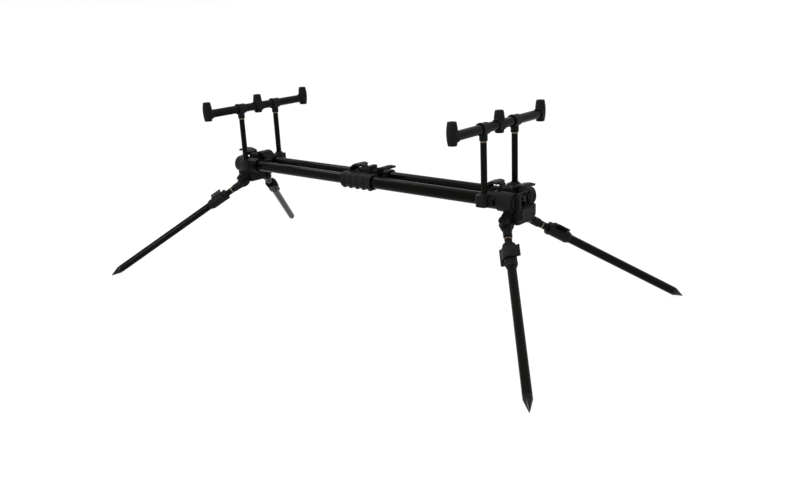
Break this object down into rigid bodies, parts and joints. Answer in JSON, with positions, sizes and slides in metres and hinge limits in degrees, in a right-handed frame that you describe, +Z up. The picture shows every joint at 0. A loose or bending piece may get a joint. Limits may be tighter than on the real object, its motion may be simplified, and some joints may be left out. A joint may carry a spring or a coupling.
{
  "type": "rod pod",
  "caption": "Free-standing folding rod pod: twin telescopic body tubes between cast ends, spiked folding legs and raised rod bars with alarm threads.",
  "frame": {"origin": "on the ground under the middle of the pod", "axes": "+X along the body tubes towards the end with the outer tubes, +Z up"},
  "size_m": [1.344, 0.688, 0.4696],
  "materials": {
    "body_tubes": "satin black anodised",
    "bar_tubes": "satin black anodised",
    "upper_leg_tubes": "satin black anodised",
    "lower_leg_tubes": "satin black anodised",
    "castings": "fine moulded texture, charcoal",
    "levers": "fine moulded texture, charcoal",
    "covers": "fine moulded texture, charcoal",
    "leg_mouldings": "fine moulded texture, charcoal",
    "bosses": "matt, soft to the touch",
    "tees": "fine moulded texture, charcoal",
    "buttons": "fine moulded texture, black",
    "inserts": "turned",
    "fasteners": "blackened steel",
    "spikes": "turned and blackened, glossy"
  },
  "bodies": {
    "main_frame": {"outer_tubes": "body_tubes", "centre_clamp": "castings", "centre_lever_pins": "fasteners", "right_leg_block": "castings", "right_upright_bracket": "castings", "right_end_covers": "covers", "right_cover_screws": "fasteners", "right_lever_pins": "fasteners", "right_leg_bolts": "fasteners"},
    "extension_frame": {"inner_tubes": "body_tubes", "left_leg_block": "castings", "left_upright_bracket": "castings", "left_end_covers": "covers", "left_cover_screws": "fasteners", "left_lever_pins": "fasteners", "left_leg_bolts": "fasteners"},
    "centre_inner_lever": {"centre_inner_lever": "levers"},
    "centre_outer_lever": {"centre_outer_lever": "levers"},
    "right_bracket_lever": {"right_bracket_lever": "levers"},
    "right_block_lever": {"right_block_lever": "levers"},
    "left_bracket_lever": {"left_bracket_lever": "levers"},
    "left_block_lever": {"left_block_lever": "levers"},
    "right_bar": {"right_bar_tube": "bar_tubes", "right_bar_bosses": "bosses", "right_thread_inserts": "inserts", "right_bar_tees": "tees", "right_uprights": "bar_tubes"},
    "right_front_leg": {"right_front_knuckle": "leg_mouldings", "right_front_upper_tube": "upper_leg_tubes"},
    "right_front_foot": {"right_front_lower_tube": "lower_leg_tubes", "right_front_collar": "leg_mouldings", "right_front_spike": "spikes"},
    "right_front_lever": {"right_front_lever": "levers"},
    "right_front_button": {"right_front_button": "buttons"},
    "right_rear_leg": {"right_rear_knuckle": "leg_mouldings", "right_rear_upper_tube": "upper_leg_tubes"},
    "right_rear_foot": {"right_rear_lower_tube": "lower_leg_tubes", "right_rear_collar": "leg_mouldings", "right_rear_spike": "spikes"},
    "right_rear_lever": {"right_rear_lever": "levers"},
    "right_rear_button": {"right_rear_button": "buttons"},
    "left_bar": {"left_bar_tube": "bar_tubes", "left_bar_bosses": "bosses", "left_thread_inserts": "inserts", "left_bar_tees": "tees", "left_uprights": "bar_tubes"},
    "left_front_leg": {"left_front_knuckle": "leg_mouldings", "left_front_upper_tube": "upper_leg_tubes"},
    "left_front_foot": {"left_front_lower_tube": "lower_leg_tubes", "left_front_collar": "leg_mouldings", "left_front_spike": "spikes"},
    "left_front_lever": {"left_front_lever": "levers"},
    "left_front_button": {"left_front_button": "buttons"},
    "left_rear_leg": {"left_rear_knuckle": "leg_mouldings", "left_rear_upper_tube": "upper_leg_tubes"},
    "left_rear_foot": {"left_rear_lower_tube": "lower_leg_tubes", "left_rear_collar": "leg_mouldings", "left_rear_spike": "spikes"},
    "left_rear_lever": {"left_rear_lever": "levers"},
    "left_rear_button": {"left_rear_button": "buttons"}
  },
  "joints": [
    {"name": "body_extension", "type": "slide", "parent": "main_frame", "child": "extension_frame", "axis": [-1, 0, 0], "range_m": [-0.2, 0.14]},
    {"name": "centre_inner_lever_hinge", "type": "hinge", "parent": "main_frame", "child": "centre_inner_lever", "pos_m": [-0.002, 0, 0.29957], "axis": [0, 1, 0], "range_deg": [0, 60]},
    {"name": "centre_outer_lever_hinge", "type": "hinge", "parent": "main_frame", "child": "centre_outer_lever", "pos_m": [0.034, 0, 0.29957], "axis": [0, -1, 0], "range_deg": [0, 60]},
    {"name": "right_bracket_lever_hinge", "type": "hinge", "parent": "main_frame", "child": "right_bracket_lever", "pos_m": [0.399, 0, 0.29957], "axis": [0, 1, 0], "range_deg": [0, 60]},
    {"name": "right_block_lever_hinge", "type": "hinge", "parent": "main_frame", "child": "right_block_lever", "pos_m": [0.421, 0, 0.29957], "axis": [0, -1, 0], "range_deg": [0, 60]},
    {"name": "left_bracket_lever_hinge", "type": "hinge", "parent": "extension_frame", "child": "left_bracket_lever", "pos_m": [-0.399, 0, 0.29957], "axis": [0, -1, 0], "range_deg": [0, 60]},
    {"name": "left_block_lever_hinge", "type": "hinge", "parent": "extension_frame", "child": "left_block_lever", "pos_m": [-0.421, 0, 0.29957], "axis": [0, 1, 0], "range_deg": [0, 60]},
    {"name": "right_bar_height", "type": "slide", "parent": "main_frame", "child": "right_bar", "axis": [0, 0, 1], "range_m": [-0.095, 0]},
    {"name": "right_front_leg_fold", "type": "hinge", "parent": "main_frame", "child": "right_front_leg", "pos_m": [0.43, -0.04, 0.23257], "axis": [0, -0.6074, 0.7944], "range_deg": [-122, 0]},
    {"name": "right_front_foot_extension", "type": "slide", "parent": "right_front_leg", "child": "right_front_foot", "axis": [0.5344, -0.6715, -0.5134], "range_m": [0, 0.22]},
    {"name": "right_front_lever_hinge", "type": "hinge", "parent": "right_front_foot", "child": "right_front_lever", "pos_m": [0.45185, -0.09481, 0.19066], "axis": [0.5344, -0.6715, -0.5134], "range_deg": [0, 100]},
    {"name": "right_front_button_press", "type": "slide", "parent": "main_frame", "child": "right_front_button", "axis": [0, 0.6074, -0.7944], "range_m": [0, 0.0025], "stiffness_N_per_m": 800, "springref_m": -0.001},
    {"name": "right_rear_leg_fold", "type": "hinge", "parent": "main_frame", "child": "right_rear_leg", "pos_m": [0.43, 0.04, 0.23257], "axis": [0, -0.6074, -0.7944], "range_deg": [-122, 0]},
    {"name": "right_rear_foot_extension", "type": "slide", "parent": "right_rear_leg", "child": "right_rear_foot", "axis": [0.5344, 0.6715, -0.5134], "range_m": [0, 0.22]},
    {"name": "right_rear_lever_hinge", "type": "hinge", "parent": "right_rear_foot", "child": "right_rear_lever", "pos_m": [0.45185, 0.09481, 0.19066], "axis": [-0.5344, -0.6715, 0.5134], "range_deg": [0, 100]},
    {"name": "right_rear_button_press", "type": "slide", "parent": "main_frame", "child": "right_rear_button", "axis": [0, -0.6074, -0.7944], "range_m": [0, 0.0025], "stiffness_N_per_m": 800, "springref_m": -0.001},
    {"name": "left_bar_height", "type": "slide", "parent": "extension_frame", "child": "left_bar", "axis": [0, 0, 1], "range_m": [-0.095, 0]},
    {"name": "left_front_leg_fold", "type": "hinge", "parent": "extension_frame", "child": "left_front_leg", "pos_m": [-0.43, -0.04, 0.23257], "axis": [0, 0.6074, -0.7944], "range_deg": [-116, 0]},
    {"name": "left_front_foot_extension", "type": "slide", "parent": "left_front_leg", "child": "left_front_foot", "axis": [-0.5344, -0.6715, -0.5134], "range_m": [0, 0.22]},
    {"name": "left_front_lever_hinge", "type": "hinge", "parent": "left_front_foot", "child": "left_front_lever", "pos_m": [-0.45185, -0.09481, 0.19066], "axis": [0.5344, 0.6715, 0.5134], "range_deg": [0, 100]},
    {"name": "left_front_button_press", "type": "slide", "parent": "extension_frame", "child": "left_front_button", "axis": [0, 0.6074, -0.7944], "range_m": [0, 0.0025], "stiffness_N_per_m": 800, "springref_m": -0.001},
    {"name": "left_rear_leg_fold", "type": "hinge", "parent": "extension_frame", "child": "left_rear_leg", "pos_m": [-0.43, 0.04, 0.23257], "axis": [0, 0.6074, 0.7944], "range_deg": [-116, 0]},
    {"name": "left_rear_foot_extension", "type": "slide", "parent": "left_rear_leg", "child": "left_rear_foot", "axis": [-0.5344, 0.6715, -0.5134], "range_m": [0, 0.22]},
    {"name": "left_rear_lever_hinge", "type": "hinge", "parent": "left_rear_foot", "child": "left_rear_lever", "pos_m": [-0.45185, 0.09481, 0.19066], "axis": [-0.5344, 0.6715, -0.5134], "range_deg": [0, 100]},
    {"name": "left_rear_button_press", "type": "slide", "parent": "extension_frame", "child": "left_rear_button", "axis": [0, -0.6074, -0.7944], "range_m": [0, 0.0025], "stiffness_N_per_m": 800, "springref_m": -0.001}
  ]
}
